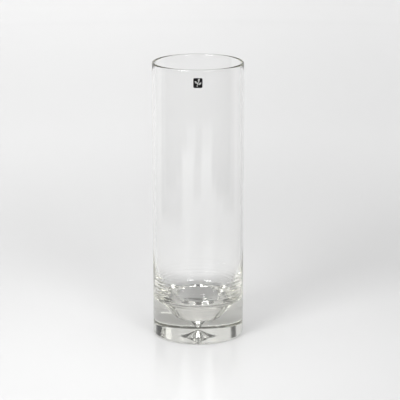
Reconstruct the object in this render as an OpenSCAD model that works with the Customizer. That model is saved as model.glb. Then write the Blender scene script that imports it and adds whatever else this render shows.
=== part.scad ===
// Cylinder vase of clear glass with a thick solid base, and a small label just below the rim.
// The origin is at the centre of the plane that the foot rests on, +Z is up, and the label faces -Y.

/* [Vessel] */
// Outer diameter of the vessel
vessel_d = 98; // [90:1:110]
// Height from the foot to the top of the rim
vessel_h = 300; // [260:5:400]
// Wall thickness at the mouth
wall_t = 3; // [2.5:0.25:4]
// Radius of the rounded edge at the foot
heel_r = 3; // [2:0.5:5]

/* [Cavity floor] */
// Height at which the wall starts to thicken towards the base
thickening_h = 115; // [100:5:140]
// Radius at which the wall would meet the rounded corner of the floor
corner_r = 40; // [39:0.5:41]
// Height that the rounded corner rises above the shelf
corner_rise = 9; // [7:0.5:11]
// Radius of the outer edge of the step, where the shelf starts
shelf_r = 30; // [28:0.5:32]
// Height of the shelf above the foot
shelf_h = 36.5; // [32:0.5:40]
// Radius of the flat cup at the bottom of the step
cup_r = 12; // [10:0.5:16]
// Height of the cup above the foot
cup_h = 19; // [19:0.5:26]
// Radius of the well in the middle of the cup
well_r = 7.5; // [6:0.5:9]
// Depth of the well below the cup
well_depth = 9.5; // [6:0.5:9.5]

/* [Underside] */
// Radius of the hollow pointed kick in the middle of the underside
kick_r = 13; // [9:0.5:20]
// Height of the kick
kick_h = 7.4; // [4:0.2:7.6]

/* [Label] */
// Width of the label, measured across its face
label_w = 9.6; // [8:0.2:14]
// Height of the label
label_h = 10.4; // [8:0.2:14]
// Radius of the label's corners
label_corner = 1.4; // [1:0.1:2]
// Distance from the top of the rim down to the middle of the label
label_drop = 13.7; // [12:0.1:30]
// Thickness of the clear adhesive
adhesive_t = 0.05; // [0.03:0.01:0.1]
// Thickness of the black film
film_t = 0.1; // [0.08:0.01:0.2]
// Thickness of the silver print
print_t = 0.03; // [0.02:0.01:0.05]
// Width of the printed lines
line_w = 0.34; // [0.3:0.02:0.5]

/* [Hidden] */
$fn = 96;
outer_r = vessel_d / 2;
mouth_r = outer_r - wall_t;
rim_r = wall_t / 2;
rim_h = vessel_h - rim_r;
label_z = vessel_h - label_drop;
adhesive_r = outer_r + adhesive_t;
film_r = adhesive_r + film_t;
print_r = film_r + print_t;
overcut = 1;

// The wall curve ends part of the way round the corner, where both have the same slope.
seam_share = 0.95;
seam_r = shelf_r + seam_share * (corner_r - shelf_r);
seam_h = shelf_h + corner_curve(seam_share);
wall_steps = 14;
wall_power = 4;
floor_steps = 40;

// The kick is a cone with a slightly hollow side and a rounded tip.
kick_steps = 16;
kick_power = 1.2;
kick_tip_r = 0.4;

// Radius of the cavity at height z, between the seam and the start of the thickening.
function wall_curve(z) =
    mouth_r - (mouth_r - seam_r) * pow((thickening_h - z) / (thickening_h - seam_h), wall_power);

// Smooth step from 0 to 1 as t goes from 0 to 1.
function rise(t) = let (c = min(1, max(0, t))) c * c * (3 - 2 * c);

// A smooth bump that is 1 on the axis and 0 at radius reach.
function bump(r, reach) = r < reach ? (1 + cos(180 * r / reach)) / 2 : 0;

// Height of the elliptical corner above the shelf; across is 0 at the shelf and 1 at the corner's radius.
function corner_curve(across) = corner_rise * (1 - sqrt(1 - across * across));

// Height of the cavity floor at radius r: the cup and its well, the step, the shelf and the corner.
function floor_curve(r) =
    cup_h - well_depth * bump(r, well_r)
    + (shelf_h - cup_h) * rise((r - cup_r) / (shelf_r - cup_r))
    + corner_curve(max(0, (r - shelf_r) / (corner_r - shelf_r)));

// Height of the kick at radius r.
function kick_curve(r) =
    kick_h * pow(1 - (sqrt(r * r + kick_tip_r * kick_tip_r) - kick_tip_r) / (kick_r - kick_tip_r), kick_power);

// Half of the cavity's outline, from the axis above the rim round to the lowest point of the floor.
module cavity_outline() {
    polygon(concat(
        [[0, vessel_h + overcut], [mouth_r, vessel_h + overcut]],
        [for (i = [0 : wall_steps])
            let (z = thickening_h + (seam_h - thickening_h) * i / wall_steps) [wall_curve(z), z]],
        [for (i = [1 : floor_steps])
            let (r = seam_r * (1 - i / floor_steps)) [r, floor_curve(r)]]
    ));
}

// Half of the kick's outline, up from below the foot.
module kick_outline() {
    polygon(concat(
        [[0, -overcut], [kick_r, -overcut], [kick_r, 0]],
        [for (i = [1 : kick_steps])
            let (r = kick_r * (1 - i / kick_steps)) [r, kick_curve(r)]]
    ));
}

// Half of the outside, with a rounded heel and a square top that the rim bead sits on.
module outside_outline() {
    square([outer_r - heel_r, rim_h]);
    translate([0, heel_r]) square([outer_r, rim_h - heel_r]);
    translate([outer_r - heel_r, heel_r]) circle(heel_r);
}

// One piece of glass: wall, thick base with a stepped hollow above, kick below, and a fire-polished rim.
module glass_vessel() {
    color([0.90, 0.95, 0.92, 0.35])
    rotate_extrude() {
        difference() {
            intersection() {
                outside_outline();
                square([outer_r, rim_h]);
            }
            cavity_outline();
            kick_outline();
        }
        translate([outer_r - rim_r, rim_h]) circle(rim_r);
    }
}

// The label's outline in its own plane: a square with slightly bulging sides and rounded corners.
module label_outline() {
    core_w = label_w - 2 * label_corner;
    core_h = label_h - 2 * label_corner;
    square([core_w, label_h], center = true);
    square([label_w, core_h], center = true);
    for (x = [-1, 1], y = [-1, 1])
        translate([x * core_w / 2, y * core_h / 2]) circle(label_corner);
}

// A pointed leaf in outline: two crossing arcs, with the same shape inside taken out.
module leaf_outline(length, width) {
    arc_r = (length * length / 4 + width * width / 4) / width;
    inner_r = arc_r - line_w;
    difference() {
        intersection_for (side = [-1, 1])
            translate([side * (arc_r - width / 2), 0]) circle(arc_r);
        intersection_for (side = [-1, 1])
            translate([side * (arc_r - width / 2), 0]) circle(inner_r);
    }
}

// A sprig in outline: a curved stem with three pointed leaves that do not touch it.
module sprig_outline() {
    stem_l = 0.5 * label_h;
    stem_bend_r = 1.6 * label_h;
    leaf_l = 0.3 * label_h;
    leaf_w = 0.15 * label_w;
    leaf_lean = 14;
    branch_lean = 50;
    intersection() {
        translate([stem_bend_r - 0.04 * label_w, 0]) difference() {
            circle(stem_bend_r + line_w / 2);
            circle(stem_bend_r - line_w / 2);
        }
        translate([-label_w / 4, -0.38 * label_h]) square([label_w / 2, stem_l]);
    }
    translate([0.07 * label_w, 0.3 * label_h]) rotate(-leaf_lean) leaf_outline(leaf_l, leaf_w);
    translate([-0.22 * label_w, 0.06 * label_h]) rotate(branch_lean) leaf_outline(leaf_l, leaf_w);
    translate([0.2 * label_w, -0.06 * label_h]) rotate(-branch_lean) leaf_outline(leaf_l, leaf_w);
}

// A layer wrapped on the vessel between two radii, cut to the outline that is its child.
module wrapped_layer(inner_r, layer_r) {
    translate([0, 0, label_z])
    intersection() {
        difference() {
            cylinder(r = layer_r, h = label_h + 2 * overcut, center = true);
            cylinder(r = inner_r, h = label_h + 4 * overcut, center = true);
        }
        rotate([90, 0, 0]) linear_extrude(height = outer_r + overcut) children();
    }
}

module label_adhesive() {
    color([0.93, 0.93, 0.90, 0.5]) wrapped_layer(outer_r, adhesive_r) label_outline();
}

module label_film() {
    color([0.02, 0.02, 0.02]) wrapped_layer(adhesive_r, film_r) label_outline();
}

module label_print() {
    color([0.62, 0.62, 0.62]) wrapped_layer(film_r, print_r) sprig_outline();
}

glass_vessel();
label_adhesive();
label_film();
label_print();
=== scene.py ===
# A clear glass cylinder vase on a white studio sweep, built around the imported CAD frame.
# Lengths are in metres, +Z is up and the label faces -Y. Azimuth 0 is the camera's side and turns towards +X.
import math

import bmesh
import bpy
from mathutils import Matrix, Vector


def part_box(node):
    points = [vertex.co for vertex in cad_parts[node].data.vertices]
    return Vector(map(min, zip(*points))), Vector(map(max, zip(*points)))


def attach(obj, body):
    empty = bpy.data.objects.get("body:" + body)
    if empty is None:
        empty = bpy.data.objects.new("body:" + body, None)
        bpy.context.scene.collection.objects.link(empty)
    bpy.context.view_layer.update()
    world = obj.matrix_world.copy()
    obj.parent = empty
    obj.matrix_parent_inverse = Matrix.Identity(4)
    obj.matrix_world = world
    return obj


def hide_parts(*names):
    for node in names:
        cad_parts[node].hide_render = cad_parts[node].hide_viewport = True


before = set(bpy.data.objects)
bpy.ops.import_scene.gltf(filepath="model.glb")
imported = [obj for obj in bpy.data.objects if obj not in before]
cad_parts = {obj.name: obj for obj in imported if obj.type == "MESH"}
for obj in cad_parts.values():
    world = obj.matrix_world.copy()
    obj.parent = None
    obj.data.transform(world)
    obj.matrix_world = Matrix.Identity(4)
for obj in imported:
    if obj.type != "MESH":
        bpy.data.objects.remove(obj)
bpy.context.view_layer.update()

MM = 0.001
TURN = 2 * math.pi
TINY = 1e-6

# The vessel, from the frame.
FOOT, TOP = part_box("glass_vessel")
OUTER_R = (TOP.x - FOOT.x) / 2
HEIGHT = TOP.z
WALL = 3 * MM
MOUTH_R = OUTER_R - WALL
RIM_R = WALL / 2
RIM_Z = HEIGHT - RIM_R
HEEL_R = 3 * MM

# The cavity: the wall thickens downwards into a rounded corner, a shelf, a sloping step, a cup and a small
# well. The wall's curve ends part of the way round the corner, at the seam, where both have the same slope.
THICKENING_Z = 115 * MM
WALL_POWER = 4
CORNER_R = 40 * MM
CORNER_RISE = 9 * MM
SHELF_R = 30 * MM
SHELF_Z = 36.5 * MM
CUP_R = 12 * MM
CUP_Z = 19 * MM
WELL_R = 7.5 * MM
WELL_DEPTH = 9.5 * MM
SEAM_SHARE = 0.95

# The hollow pointed kick in the middle of the underside.
KICK_R = 13 * MM
KICK_H = 7.4 * MM
KICK_POWER = 1.2
KICK_TIP = 0.4 * MM

# Shallow rings on the cavity side just above the base, deepest at the left and right. They start at the seam
# and fade out towards the top.
RING_DEPTH = 0.28 * MM
RING_PITCH = 4.2 * MM
RING_TOP = 78 * MM
RING_START = 3 * MM
RING_FADE = 28 * MM
RING_LEAST = 0.15
RING_TILT = 0.5

# A slow unevenness of the cavity side, as on blown glass: waves round the wall, each with a count, a share of
# the depth, a start angle and a twist with height.
UNEVEN_DEPTH = 0.05 * MM
UNEVEN_START = 12 * MM
UNEVEN_FADE = 40 * MM
UNEVEN_WAVES = ((2, 1.0, 0.8, 90 * MM), (3, 0.6, 2.1, -60 * MM))

# Faint rings on the cavity floor, from the cup to the shelf.
FLOOR_RING_DEPTH = 0.08 * MM
FLOOR_RING_PITCH = 3.5 * MM
FLOOR_RING_FADE = 4 * MM
FLOOR_RING_FROM_R = 7 * MM
FLOOR_RING_TO_R = 30 * MM

# Mesh steps of the vessel.
AROUND = 240
KICK_STEPS = 40
FOOT_STEPS = 12
HEEL_STEPS = 16
OUTSIDE_STEPS = 24
RIM_STEPS = 20
INSIDE_STEPS = 40
THICKENING_STEPS = 96
FLOOR_STEPS = 140

# The label, from the frame: a clear adhesive, a black film and a raised print, each wrapped on the one below.
LABEL_LOW, LABEL_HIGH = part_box("label_film")
LABEL_W = LABEL_HIGH.x - LABEL_LOW.x
LABEL_H = LABEL_HIGH.z - LABEL_LOW.z
LABEL_Z = (LABEL_HIGH.z + LABEL_LOW.z) / 2
LABEL_POINTS = 96
LABEL_POWER = 0.22
LABEL_RINGS = (0.12, 0.3, 0.5, 0.7, 0.88)
EDGE_STEPS = 3
ADHESIVE_R = OUTER_R + 0.05 * MM
ADHESIVE_EDGE = 0.02 * MM
ADHESIVE_GAP = 0.002 * MM
FILM_R = ADHESIVE_R + 0.1 * MM
FILM_EDGE = 0.06 * MM
PRINT_R = FILM_R + 0.03 * MM
PRINT_GAP = 0.001 * MM

# The sprig, in shares of the label's width and height: the stem's curve, and each leaf's place and turn.
LINE_W = 0.36 * MM
LINE_TOP = 0.85
STEM_STEPS = 24
STEM_X = (-0.09, 0.16)
STEM_Z = (-0.38, 0.50)
LEAF_STEPS = 20
LEAF_LENGTH = 0.30
LEAF_WIDTH = 0.13
LEAF_POWER = 1.2
LEAVES = ((0.10, 0.30, -14), (-0.20, 0.06, 50), (0.21, -0.06, -52))

# The camera, at the photo's viewing angle: angles in degrees, lens and sensor in millimetres.
CAMERA_PLACE = (0.0021, -2.054, 0.678)
CAMERA_DOWN = 14.46
CAMERA_ROLL = -0.03
LENS = 176.8
SENSOR = 36
CLIP_NEAR = 0.05
CLIP_FAR = 60
LIGHT_BOUNCES = 160

# The sweep: a round floor that curves up into a wall.
SWEEP_R = 3.4
COVE_R = 1.3
SWEEP_TOP = 1.8
SWEEP_DROP = 0.05 * MM
SWEEP_RINGS = (0.0, 0.08, 0.2, 0.6, 1.2)
SWEEP_AROUND = 128
COVE_STEPS = 24

# Painted light and shade on the sweep: its tone by distance, in shares of its reach, darkest in a band a
# little way from the vase and brighter far off. Painted shade darkens it to the right, less so far away, and
# it glows a little under the base as painted caustic light, where the glass gathers light.
PAINTED_LIGHT_REACH = 2.6
PAINTED_LIGHT_STOPS = ((0.04, 0.755), (0.14, 0.69), (0.42, 0.83), (1.0, 0.965))
SIDE_PAINTED_SHADE = 0.14
SIDE_X = (-0.30, 0.50)
SIDE_FAR = (0.5, 1.5)
SIDE_FAR_LESS = 0.3
PAINTED_CAUSTIC_GLOW = 0.38
PAINTED_CAUSTIC_EDGE = (0.036, 0.048)
PAINTED_CAUSTIC_TINT = (1, 0.99, 0.96, 1)

# The room's light is two soft lobes, each with a direction and a strength. The two lamps each have a name, an
# azimuth, an elevation, a distance, a size and a power.
ROOM_LOBES = (((0, 0, 1), 1.15), ((0, -0.9, 0.436), 0.42))
LOBE_POWER = 1.5
LAMPS = (("key_left", -36, 27, 2.0, 0.8, 25), ("key_right", 28, 24, 2.0, 0.7, 14))

# How much darker the room and the lamps are in the glass than as light on the sweep, and the least brightness
# that the glass shows of the room. That is more where light passes in few steps, as it does in the thin rim.
ROOM_DARK = 0.85
LAMP_DARK = 0.85
RIM_FILL = 0.9
RIM_DEPTH = 3.5
DEEP_FILL = 0.14

# Painted shade in the glass's reflections and refractions: parts of the sweep painted dark only for rays that
# leave the glass, standing in for the unlit room round a small table, and a painted contact shadow round the
# foot. Each has the way that a ray left the glass, an azimuth, a half width and a soft edge in degrees, limits
# of reach and of height, and a strength.
ALL_ROUND = 180
NO_END = (9, 10)
BEHIND = (2, 2.4, *NO_END)
ROUND_FOOT = (-0.02, 0.04, 0.09, 0.17)
ON_FLOOR = (-1.0, -0.5, 0.02, 0.10)
ON_WALL = (0.45, 0.70, 1.40, 1.60)
PAINTED_DARK_PARTS = (
    # A painted contact shadow on the floor round the foot, as the glass sees it through itself.
    ("through", 180, ALL_ROUND, 1, ROUND_FOOT, ON_FLOOR, 0.30),
    ("mirrored inside", 130, 14, 3, BEHIND, ON_WALL, 0.97),
    ("mirrored inside", -137, 4, 4, BEHIND, ON_WALL, 0.85),
)

# Painted reflection: the bright floor in front, as the wall mirrors it, is a tent with two peaks. Each sector
# of the floor is painted dark for the glass from a reach onwards: azimuth and half width in degrees, and that
# reach.
TENT = ((0, 100, 0.88), (84, 19, 0.52), (58, 12, 0.59), (42, 9, 0.70), (-2, 9, 0.62), (-72, 32, 0.49))
TENT_EDGE = 4
TENT_FADE = 1.2
TENT_PAINTED_DARK = 0.7


def rise(value):
    """Smooth step from 0 to 1 as the value goes from 0 to 1."""
    value = min(1.0, max(0.0, value))
    return value * value * (3 - 2 * value)


def bump(r, reach):
    """A smooth bump that is 1 on the axis and 0 from radius reach outwards."""
    return (1 + math.cos(math.pi * r / reach)) / 2 if r < reach else 0.0


def spread(start, end, steps):
    """Evenly spaced values from start to end, both included."""
    return [start + (end - start) * i / steps for i in range(steps + 1)]


def arc(centre_r, centre_z, radius, start, end, steps):
    """Points of an arc in the outline's plane, from one angle to another, in degrees."""
    points = []
    for degrees in spread(start, end, steps):
        angle = math.radians(degrees)
        points.append((centre_r + radius * math.cos(angle), centre_z + radius * math.sin(angle)))
    return points


def floor_rings(r):
    """Shallow rings left by the mould in the cup and on the step."""
    begin = rise((r - FLOOR_RING_FROM_R) / FLOOR_RING_FADE)
    end = rise((FLOOR_RING_TO_R - r) / FLOOR_RING_FADE)
    return FLOOR_RING_DEPTH * begin * end * math.cos(TURN * r / FLOOR_RING_PITCH)


def floor_curve(r):
    """Height of the cavity floor at a radius: the cup and its well, the step, the shelf and the corner."""
    step = (SHELF_Z - CUP_Z) * rise((r - CUP_R) / (SHELF_R - CUP_R))
    across = min(1.0, max(0.0, (r - SHELF_R) / (CORNER_R - SHELF_R)))
    corner = CORNER_RISE * (1 - math.sqrt(1 - across ** 2))
    return CUP_Z + step + corner - WELL_DEPTH * bump(r, WELL_R) + floor_rings(r)


SEAM_R = SHELF_R + SEAM_SHARE * (CORNER_R - SHELF_R)
SEAM_Z = floor_curve(SEAM_R)


def wall_curve(z):
    """Radius of the cavity at a height, between the seam and the start of the thickening."""
    drop = max(0.0, (THICKENING_Z - z) / (THICKENING_Z - SEAM_Z))
    return MOUTH_R - (MOUTH_R - SEAM_R) * drop ** WALL_POWER


def kick_curve(r):
    """Height of the kick at a radius: a cone with a slightly hollow side and a rounded tip."""
    along = (math.sqrt(r * r + KICK_TIP * KICK_TIP) - KICK_TIP) / (KICK_R - KICK_TIP)
    return KICK_H * (1 - along) ** KICK_POWER if along < 1 else 0.0


def vessel_outline():
    """The outline, from the middle of the underside, up the outside, to the middle of the cavity floor."""
    flat_r = OUTER_R - HEEL_R
    points = [(r, kick_curve(r)) for r in spread(0.0, KICK_R, KICK_STEPS)[:-1]]
    points += [(r, 0.0) for r in spread(KICK_R, flat_r, FOOT_STEPS)[:-1]]
    points += arc(flat_r, HEEL_R, HEEL_R, -90, 0, HEEL_STEPS)
    points += [(OUTER_R, z) for z in spread(HEEL_R, RIM_Z, OUTSIDE_STEPS)[1:-1]]
    points += arc(OUTER_R - RIM_R, RIM_Z, RIM_R, 0, 180, RIM_STEPS)
    points += [(MOUTH_R, z) for z in spread(RIM_Z, THICKENING_Z, INSIDE_STEPS)[1:-1]]
    points += [(wall_curve(z), z) for z in spread(THICKENING_Z, SEAM_Z, THICKENING_STEPS)]
    points += [(r, floor_curve(r)) for r in spread(SEAM_R, 0.0, FLOOR_STEPS)[1:]]
    return points


def wall_unevenness(z, angle):
    """The slow unevenness of the cavity side; 0 at the seam and at the rim."""
    fade = rise((z - SEAM_Z) / UNEVEN_START) * rise((HEIGHT - WALL - z) / UNEVEN_FADE)
    waves = 0.0
    for count, share, start, twist in UNEVEN_WAVES:
        waves += share * math.sin(count * angle + start + z / twist)
    return UNEVEN_DEPTH * fade * waves


def wall_rings(z, angle):
    """The shallow rings just above the base."""
    at_sides = RING_LEAST + (1 - RING_LEAST) * math.cos(angle) ** 4
    fade = rise((z - SEAM_Z) / RING_START) * rise((RING_TOP - z) / RING_FADE)
    return RING_DEPTH * at_sides * fade * math.sin(TURN * z / RING_PITCH + RING_TILT * math.sin(angle + 1))


def cavity_wobble(r, z, angle):
    """Small change of the radius on the cavity side of the wall; 0 on the outside, the rim and the floor."""
    if r > MOUTH_R + TINY or z < SEAM_Z or z > HEIGHT - WALL:
        return 0.0
    return wall_unevenness(z, angle) + wall_rings(z, angle)


def new_object(name, mesh_builder, look):
    """A smooth-shaded mesh object with one material, from a function that fills a bmesh."""
    mesh = bpy.data.meshes.new(name)
    bm = bmesh.new()
    mesh_builder(bm)
    bmesh.ops.recalc_face_normals(bm, faces=bm.faces)
    bm.to_mesh(mesh)
    bm.free()
    for face in mesh.polygons:
        face.use_smooth = True
    mesh.materials.append(look)
    made = bpy.data.objects.new(name, mesh)
    bpy.context.scene.collection.objects.link(made)
    return made


def level_points(bm, r, z, around, wobble):
    """The points of one level of a lathed shape; a single one on the axis."""
    if r < TINY * MM:
        return [bm.verts.new((0, 0, z))]
    ring = []
    for k in range(around):
        angle = TURN * k / around
        radius = r + (wobble(r, z, angle) if wobble else 0)
        ring.append(bm.verts.new((radius * math.cos(angle), radius * math.sin(angle), z)))
    return ring


def fan(bm, loop, middle):
    """Closes a loop with triangles to a middle point."""
    for k in range(len(loop)):
        bm.faces.new((loop[k], loop[(k + 1) % len(loop)], middle))


def bridge(bm, first, second):
    """Joins two closed loops that have as many points with four-sided faces."""
    for k in range(len(first)):
        n = (k + 1) % len(first)
        bm.faces.new((first[k], first[n], second[n], second[k]))


def lathe(bm, outline, around, wobble=None):
    """Turns an outline round +Z. It starts on the axis, and ends on it or is open."""
    rings = [level_points(bm, r, z, around, wobble) for r, z in outline]
    for low, high in zip(rings[:-1], rings[1:]):
        if len(low) == 1:
            fan(bm, high[::-1], low[0])
        elif len(high) == 1:
            fan(bm, low, high[0])
        else:
            bridge(bm, low, high)


def vessel_body(bm):
    """The whole vessel as one closed skin."""
    lathe(bm, vessel_outline(), AROUND, cavity_wobble)


def on_cylinder(x, z, radius):
    """A point of the label's flat drawing, carried straight back onto the cylinder."""
    return (x, -math.sqrt(radius * radius - x * x), LABEL_Z + z)


def label_loop(bm, scale, inset, radius):
    """A loop of the label's outline, a square with bulging sides and round corners, drawn in by an inset."""
    half_w = LABEL_W / 2 - inset
    half_h = LABEL_H / 2 - inset
    loop = []
    for i in range(LABEL_POINTS):
        c = math.cos(TURN * i / LABEL_POINTS)
        s = math.sin(TURN * i / LABEL_POINTS)
        x = scale * half_w * math.copysign(abs(c) ** LABEL_POWER, c)
        z = scale * half_h * math.copysign(abs(s) ** LABEL_POWER, s)
        loop.append(bm.verts.new(on_cylinder(x, z, radius)))
    return loop


def wrapped_patch(bm, back_r, front_r, round_off):
    """A thin closed layer with the label's outline, wrapped on the vase, with a rounded front edge."""
    loops = [label_loop(bm, scale, 0, back_r) for scale in LABEL_RINGS]
    loops.append(label_loop(bm, 1, 0, back_r))
    for degrees in spread(0, 90, EDGE_STEPS):
        inset = round_off * (1 - math.cos(math.radians(degrees)))
        radius = front_r - round_off * (1 - math.sin(math.radians(degrees)))
        loops.append(label_loop(bm, 1, inset, max(radius, back_r + TINY)))
    loops += [label_loop(bm, scale, round_off, front_r) for scale in reversed(LABEL_RINGS)]
    for first, second in zip(loops[:-1], loops[1:]):
        bridge(bm, first, second)
    fan(bm, loops[0], bm.verts.new(on_cylinder(0, 0, back_r)))
    fan(bm, loops[-1], bm.verts.new(on_cylinder(0, 0, front_r)))


def adhesive_layer(bm):
    """The adhesive, a hair clear of the glass and of the film."""
    wrapped_patch(bm, OUTER_R + ADHESIVE_GAP, ADHESIVE_R - ADHESIVE_GAP, ADHESIVE_EDGE)


def film_sheet(bm):
    """The black film."""
    wrapped_patch(bm, ADHESIVE_R, FILM_R, FILM_EDGE)


def leaf_path(centre_x, centre_z, length, width, turn):
    """A closed pointed leaf, as points round its middle line."""
    points = []
    c = math.cos(math.radians(turn))
    s = math.sin(math.radians(turn))
    for side in (1, -1):
        for i in range(LEAF_STEPS):
            along = (i / LEAF_STEPS - 0.5) * side
            x = side * width / 2 * math.cos(math.pi * along) ** LEAF_POWER
            z = along * length
            points.append((centre_x + c * x - s * z, centre_z + s * x + c * z))
    return points


def stem_path():
    """The stem, an open curve that bends to the right as it rises."""
    points = []
    for t in spread(0, 1, STEM_STEPS):
        x = STEM_X[0] + STEM_X[1] * t * t
        z = STEM_Z[0] + STEM_Z[1] * t
        points.append((x * LABEL_W, z * LABEL_H))
    return points


def stroke(bm, path, closed, width, back_r, front_r):
    """A raised line along a path: a ribbon with a back, a front and sides."""
    count = len(path)
    profile = ((-1, back_r), (-LINE_TOP, front_r), (LINE_TOP, front_r), (1, back_r))
    rows = []
    for i, (x, z) in enumerate(path):
        before = path[i - 1] if closed or i > 0 else path[i]
        after = path[(i + 1) % count] if closed or i < count - 1 else path[i]
        dx = after[0] - before[0]
        dz = after[1] - before[1]
        half = width / 2 / math.hypot(dx, dz)
        rows.append([bm.verts.new(on_cylinder(x - side * dz * half, z + side * dx * half, radius))
                     for side, radius in profile])
    for first, second in zip(rows[:-1], rows[1:]):
        bridge(bm, first, second)
    if closed:
        bridge(bm, rows[-1], rows[0])
    else:
        bm.faces.new(rows[0])
        bm.faces.new(rows[-1][::-1])


def sprig(bm):
    """A generic sprig: a curved stem and three open leaves that don't touch it."""
    back_r = FILM_R + PRINT_GAP
    stroke(bm, stem_path(), False, LINE_W, back_r, PRINT_R)
    for x, z, turn in LEAVES:
        path = leaf_path(x * LABEL_W, z * LABEL_H, LEAF_LENGTH * LABEL_H, LEAF_WIDTH * LABEL_W, turn)
        stroke(bm, path, True, LINE_W, back_r, PRINT_R)


def material(name):
    """A new node material; returns it with its node tree and its Principled BSDF."""
    made = bpy.data.materials.new(name)
    made.use_nodes = True
    tree = made.node_tree
    return made, tree, tree.nodes["Principled BSDF"]


def noise_node(tree, scale, detail):
    """Noise over the object's own coordinates; returns its 0 to 1 output."""
    place = tree.nodes.new("ShaderNodeTexCoord")
    noise = tree.nodes.new("ShaderNodeTexNoise")
    noise.inputs["Scale"].default_value = scale
    noise.inputs["Detail"].default_value = detail
    tree.links.new(place.outputs["Object"], noise.inputs["Vector"])
    return noise.outputs["Fac"]


def add_relief(tree, shader, value, distance, strength):
    """Fine relief on a shader, from a noise value."""
    relief = tree.nodes.new("ShaderNodeBump")
    relief.inputs["Distance"].default_value = distance
    relief.inputs["Strength"].default_value = strength
    tree.links.new(value, relief.inputs["Height"])
    tree.links.new(relief.outputs["Normal"], shader.inputs["Normal"])


def two_tone(tree, shader, value, dark, light):
    """Base colour between two colours, by a noise value."""
    ramp = tree.nodes.new("ShaderNodeValToRGB")
    ramp.color_ramp.elements[0].position = 0.35
    ramp.color_ramp.elements[0].color = (*dark, 1)
    ramp.color_ramp.elements[1].position = 0.65
    ramp.color_ramp.elements[1].color = (*light, 1)
    tree.links.new(value, ramp.inputs["Fac"])
    tree.links.new(ramp.outputs["Color"], shader.inputs["Base Color"])


def glass_material():
    """Clear glass with a faint warm grey tint in its depth and a very slow waviness on its surface."""
    made, tree, shader = material("clear_glass")
    shader.inputs["Base Color"].default_value = (1, 1, 1, 1)
    shader.inputs["Roughness"].default_value = 0.0
    shader.inputs["IOR"].default_value = 1.52
    shader.inputs["Transmission Weight"].default_value = 1.0
    absorb = tree.nodes.new("ShaderNodeVolumeAbsorption")
    absorb.inputs["Color"].default_value = (0.60, 0.60, 0.50, 1)
    absorb.inputs["Density"].default_value = 5.5
    tree.links.new(absorb.outputs["Volume"], tree.nodes["Material Output"].inputs["Volume"])
    add_relief(tree, shader, noise_node(tree, 28.0, 1.0), distance=0.0006, strength=0.05)
    return made


def film_material():
    """Black film with a soft sheen and a fine grain."""
    made, tree, shader = material("black_film")
    two_tone(tree, shader, noise_node(tree, 2200.0, 3.0), (0.003, 0.003, 0.0035), (0.008, 0.008, 0.0085))
    shader.inputs["Roughness"].default_value = 0.34
    shader.inputs["Specular IOR Level"].default_value = 0.12
    add_relief(tree, shader, noise_node(tree, 3000.0, 2.0), distance=0.00002, strength=0.25)
    return made


def print_material():
    """Silver-grey ink, slightly uneven in tone."""
    made, tree, shader = material("silver_print")
    two_tone(tree, shader, noise_node(tree, 4000.0, 2.0), (0.66, 0.66, 0.65), (0.86, 0.86, 0.84))
    shader.inputs["Roughness"].default_value = 0.38
    shader.inputs["Metallic"].default_value = 0.25
    return made


def adhesive_material():
    """Clear adhesive, thin enough for the black film to show through it from inside the vase."""
    made, tree, shader = material("clear_adhesive")
    two_tone(tree, shader, noise_node(tree, 1500.0, 2.0), (0.90, 0.90, 0.86), (0.97, 0.97, 0.94))
    shader.inputs["Roughness"].default_value = 0.12
    shader.inputs["IOR"].default_value = 1.47
    shader.inputs["Transmission Weight"].default_value = 1.0
    return made


def math_node(tree, operation, first, second):
    """A math node on two values, each a socket or a number; returns its output."""
    node = tree.nodes.new("ShaderNodeMath")
    node.operation = operation
    for socket, value in zip(node.inputs, (first, second)):
        if isinstance(value, (int, float)):
            socket.default_value = value
        else:
            tree.links.new(value, socket)
    return node.outputs[0]


def times(tree, product, *others):
    """The product of several values."""
    for other in others:
        product = math_node(tree, "MULTIPLY", product, other)
    return product


def one_minus(tree, value):
    """What a share leaves of 1."""
    return math_node(tree, "SUBTRACT", 1.0, value)


def vector_node(tree, operation, vector, other=None):
    """A vector math node; returns a number for a dot product or a length, and a vector otherwise."""
    node = tree.nodes.new("ShaderNodeVectorMath")
    node.operation = operation
    tree.links.new(vector, node.inputs[0])
    if other is not None:
        node.inputs[1].default_value = other
    return node.outputs["Value" if operation in ("DOT_PRODUCT", "LENGTH") else "Vector"]


def soft_range(tree, value, low, high):
    """0 below low, 1 above high, smooth between them."""
    node = tree.nodes.new("ShaderNodeMapRange")
    node.interpolation_type = "SMOOTHSTEP"
    node.inputs["From Min"].default_value = low
    node.inputs["From Max"].default_value = high
    tree.links.new(value, node.inputs["Value"])
    return node.outputs["Result"]


def band(tree, value, limits):
    """Rises from 0 to 1 over the first two limits and falls back over the last two."""
    begin = soft_range(tree, value, limits[0], limits[1])
    end = soft_range(tree, value, limits[2], limits[3])
    return times(tree, begin, one_minus(tree, end))


def sector(tree, toward, azimuth, half_width, edge):
    """1 in a sector of the floor round the given azimuth, 0 outside it, with a soft edge; in degrees."""
    a = math.radians(azimuth)
    facing = vector_node(tree, "DOT_PRODUCT", toward, (math.sin(a), -math.cos(a), 0))
    outer = math.cos(math.radians(half_width + edge))
    inner = math.cos(math.radians(half_width - edge))
    return soft_range(tree, facing, outer, inner)


def light_path(tree):
    """What is known of the ray that meets a part of the stage."""
    return tree.nodes.new("ShaderNodeLightPath").outputs


def seen_by_glass(tree, rays):
    """1 for a ray that comes from the glass towards the camera, 0 for light on its way to the floor."""
    first = math_node(tree, "LESS_THAN", rays["Diffuse Depth"], 0.5)
    return times(tree, rays["Is Glossy Ray"], first)


def ray_kinds(tree, rays):
    """The three ways a ray leaves the glass; one mirrored inside it has met an odd number of surfaces."""
    through = rays["Is Transmission Ray"]
    odd = math_node(tree, "MODULO", rays["Ray Depth"], 2.0)
    return {
        "mirrored": rays["Is Reflection Ray"],
        "through": through,
        "mirrored inside": times(tree, through, odd),
    }


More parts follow.
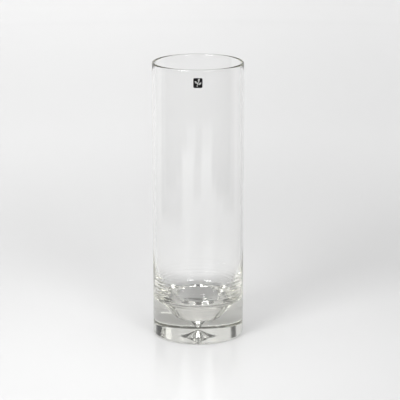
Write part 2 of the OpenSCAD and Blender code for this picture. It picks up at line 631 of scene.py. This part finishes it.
def all_painted_dark_parts():
    """The painted dark patches, one by one, and the painted tent as mirrored on and inside the glass."""
    parts = list(PAINTED_DARK_PARTS)
    for kind in ("mirrored", "mirrored inside"):
        for azimuth, half_width, start in TENT:
            reaches = (start, TENT_FADE * start, *NO_END)
            parts.append((kind, azimuth, half_width, TENT_EDGE, reaches, ON_FLOOR, TENT_PAINTED_DARK))
    return parts


def painted_dark_in_glass(tree, place, reach, height):
    """Painted shade and painted reflection: how dark the glass sees each place of the sweep."""
    rays = light_path(tree)
    kinds = ray_kinds(tree, rays)
    toward = vector_node(tree, "NORMALIZE", vector_node(tree, "MULTIPLY", place, (1, 1, 0)))
    dark = 0.0
    for kind, azimuth, half_width, edge, reaches, heights, strength in all_painted_dark_parts():
        part = times(tree, kinds[kind], band(tree, reach, reaches), band(tree, height, heights))
        if half_width < ALL_ROUND:
            part = times(tree, part, sector(tree, toward, azimuth, half_width, edge))
        dark = math_node(tree, "MAXIMUM", times(tree, part, strength), dark)
    return times(tree, dark, seen_by_glass(tree, rays))


def painted_side_shade(tree, across, reach):
    """Painted shade: how much darker the sweep is towards the right, less so far from the vase."""
    side = soft_range(tree, across, *SIDE_X)
    far = soft_range(tree, reach, *SIDE_FAR)
    return times(tree, side, one_minus(tree, times(tree, far, SIDE_FAR_LESS)), SIDE_PAINTED_SHADE)


def painted_light_by_reach(tree, reach):
    """Painted light and shade: the sweep's grey by distance from the vase, darkest in a band a little way out.
    """
    ramp = tree.nodes.new("ShaderNodeValToRGB")
    ramp.color_ramp.interpolation = "EASE"
    while len(ramp.color_ramp.elements) < len(PAINTED_LIGHT_STOPS):
        ramp.color_ramp.elements.new(0.5)
    for element, (position, tone) in zip(ramp.color_ramp.elements, PAINTED_LIGHT_STOPS):
        element.position = position
        element.color = (tone, tone, tone, 1)
    tree.links.new(math_node(tree, "DIVIDE", reach, PAINTED_LIGHT_REACH), ramp.inputs["Fac"])
    return ramp.outputs["Color"]


def floor_material():
    """White acrylic, with painted light and shade in its colour, painted shade seen only by the glass, and a
    painted glow of caustic light under the base, all set by place.
    """
    made, tree, shader = material("white_acrylic")
    place = tree.nodes.new("ShaderNodeTexCoord").outputs["Object"]
    reach = vector_node(tree, "LENGTH", place)
    axes = tree.nodes.new("ShaderNodeSeparateXYZ")
    tree.links.new(place, axes.inputs[0])
    # Painted shade: the glass's dark patches and the side shade darken the base colour towards black.
    dark = math_node(tree, "MAXIMUM", painted_dark_in_glass(tree, place, reach, axes.outputs["Z"]),
                     painted_side_shade(tree, axes.outputs["X"], reach))
    shade = tree.nodes.new("ShaderNodeMix")
    shade.data_type = "RGBA"
    tree.links.new(dark, shade.inputs["Factor"])
    tree.links.new(painted_light_by_reach(tree, reach), shade.inputs["A"])
    shade.inputs["B"].default_value = (0, 0, 0, 1)
    tree.links.new(shade.outputs["Result"], shader.inputs["Base Color"])
    shader.inputs["Roughness"].default_value = 0.2
    shader.inputs["Specular IOR Level"].default_value = 0.35
    # Painted caustic light: the floor itself glows under the base, where the glass gathers light.
    painted_caustic = one_minus(tree, soft_range(tree, reach, *PAINTED_CAUSTIC_EDGE))
    shader.inputs["Emission Color"].default_value = PAINTED_CAUSTIC_TINT
    tree.links.new(times(tree, painted_caustic, PAINTED_CAUSTIC_GLOW), shader.inputs["Emission Strength"])
    return made


def sweep_mesh(bm):
    """The floor, the cove and the wall as one lathed sheet."""
    cove_at = SWEEP_R - COVE_R
    outline = [(r, 0.0) for r in (*SWEEP_RINGS, cove_at)]
    outline += arc(cove_at, COVE_R, COVE_R, -90, 0, COVE_STEPS)[1:]
    outline.append((SWEEP_R, SWEEP_TOP))
    lathe(bm, outline, SWEEP_AROUND)


def make_sweep():
    """The sweep, a hair below the foot."""
    sweep = new_object("sweep", sweep_mesh, floor_material())
    sweep.location.z = -SWEEP_DROP


def room_light(tree):
    """The room's light by direction, as a sum of soft lobes."""
    where = tree.nodes.new("ShaderNodeTexCoord").outputs["Generated"]
    light = 0.0
    for direction, strength in ROOM_LOBES:
        facing = math_node(tree, "MAXIMUM", vector_node(tree, "DOT_PRODUCT", where, direction), 0.0)
        lobe = times(tree, math_node(tree, "POWER", facing, LOBE_POWER), strength)
        light = math_node(tree, "ADD", lobe, light)
    return light


def make_world():
    """The room, dimmed for the glass, which still shows it with a least brightness."""
    world = bpy.data.worlds.new("studio")
    world.use_nodes = True
    tree = world.node_tree
    rays = light_path(tree)
    by_glass = seen_by_glass(tree, rays)
    light = times(tree, room_light(tree), one_minus(tree, times(tree, by_glass, ROOM_DARK)))
    shallow = math_node(tree, "LESS_THAN", rays["Ray Depth"], RIM_DEPTH)
    rim_fill = times(tree, by_glass, rays["Is Transmission Ray"], shallow, RIM_FILL)
    fill = math_node(tree, "MAXIMUM", rim_fill, times(tree, by_glass, DEEP_FILL))
    light = math_node(tree, "MAXIMUM", light, fill)
    tree.links.new(light, tree.nodes["Background"].inputs["Color"])
    bpy.context.scene.world = world


def softbox(name, azimuth, elevation, distance, size, power):
    """A square area light that faces the vase and is dimmer in the glass."""
    light = bpy.data.lights.new(name, "AREA")
    light.shape = "SQUARE"
    light.size = size
    light.energy = power
    light.use_nodes = True
    tree = light.node_tree
    dim = times(tree, seen_by_glass(tree, light_path(tree)), LAMP_DARK)
    tree.links.new(one_minus(tree, dim), tree.nodes["Emission"].inputs["Strength"])
    lamp = bpy.data.objects.new(name, light)
    bpy.context.scene.collection.objects.link(lamp)
    a = math.radians(azimuth)
    e = math.radians(elevation)
    away = Vector((math.sin(a) * math.cos(e), -math.cos(a) * math.cos(e), math.sin(e)))
    lamp.location = Vector((0, 0, HEIGHT / 2)) + distance * away
    lamp.rotation_euler = (-away).to_track_quat("-Z", "Y").to_euler()
    lamp.visible_camera = False


def make_stage():
    """The sweep, the room and the lamps."""
    make_sweep()
    make_world()
    for lamp in LAMPS:
        softbox(*lamp)


def make_camera():
    """The scene's camera."""
    lens = bpy.data.cameras.new("camera")
    lens.sensor_width = SENSOR
    lens.lens = LENS
    lens.clip_start = CLIP_NEAR
    lens.clip_end = CLIP_FAR
    camera = bpy.data.objects.new("camera", lens)
    bpy.context.scene.collection.objects.link(camera)
    tilt = Matrix.Rotation(math.radians(90 - CAMERA_DOWN), 4, "X")
    roll = Matrix.Rotation(math.radians(CAMERA_ROLL), 4, "Z")
    camera.matrix_world = Matrix.Translation(CAMERA_PLACE) @ tilt @ roll
    bpy.context.scene.camera = camera


def piece(name, builder, look, node):
    """A piece of the vase that stands for a CAD node."""
    made = new_object(name, builder, look)
    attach(made, "root")
    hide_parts(node)


def make_vase():
    """The vessel and the three layers of its label."""
    piece("glass_vessel_body", vessel_body, glass_material(), "glass_vessel")
    piece("label_adhesive_layer", adhesive_layer, adhesive_material(), "label_adhesive")
    piece("label_film_sheet", film_sheet, film_material(), "label_film")
    piece("label_print_sprig", sprig, print_material(), "label_print")


def render_settings():
    """Plain colours, and enough bounces for light that runs along inside the wall."""
    scene = bpy.context.scene
    scene.view_settings.view_transform = "Standard"
    scene.view_settings.look = "None"
    scene.cycles.use_denoising = True
    scene.cycles.max_bounces = LIGHT_BOUNCES
    scene.cycles.transmission_bounces = LIGHT_BOUNCES
    scene.cycles.glossy_bounces = LIGHT_BOUNCES


make_camera()
make_stage()
make_vase()
render_settings()
